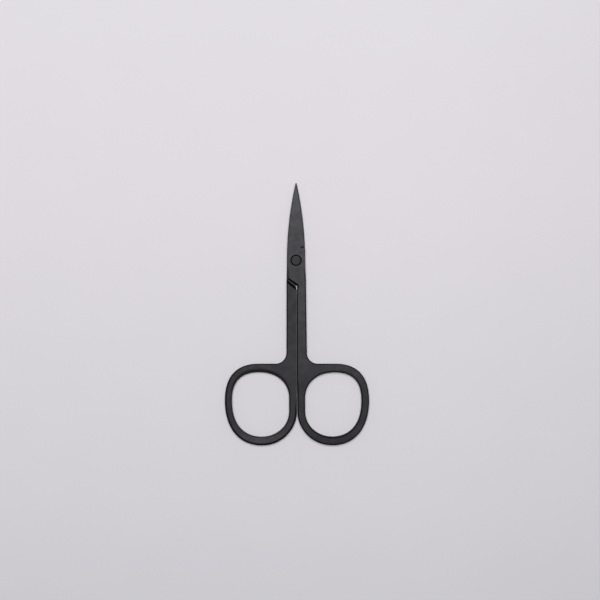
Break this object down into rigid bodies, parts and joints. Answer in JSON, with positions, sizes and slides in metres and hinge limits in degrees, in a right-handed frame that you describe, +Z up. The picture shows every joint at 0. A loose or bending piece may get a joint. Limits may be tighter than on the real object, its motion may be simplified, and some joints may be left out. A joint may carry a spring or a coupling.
{
  "type": "nail scissors",
  "caption": "Small straight nail scissors: slim pointed blades lapped on a flush rivet, flat shanks and oval finger rings, in black coated steel.",
  "frame": {"origin": "on the rivet's axis, in the plane of the underside that the scissors lie on", "axes": "+Y from the rivet towards the blade tips, +Z up out of the face that shows the front blade and along the rivet's axis, +X towards the front half's finger ring"},
  "size_m": [0.0505, 0.092, 0.0032],
  "materials": {
    "front_half_black_steel": "satin black coated steel",
    "rear_half_black_steel": "satin black coated steel",
    "rivet_black_steel": "satin black coated steel"
  },
  "bodies": {
    "rear": {"rear_half": "rear_half_black_steel", "pivot_rivet": "rivet_black_steel"},
    "front": {"front_half": "front_half_black_steel"}
  },
  "joints": [
    {"name": "blade_pivot", "type": "hinge", "parent": "rear", "child": "front", "pos_m": [0, 0, 0.0016], "axis": [0, 0, 1], "range_deg": [0, 120]}
  ]
}
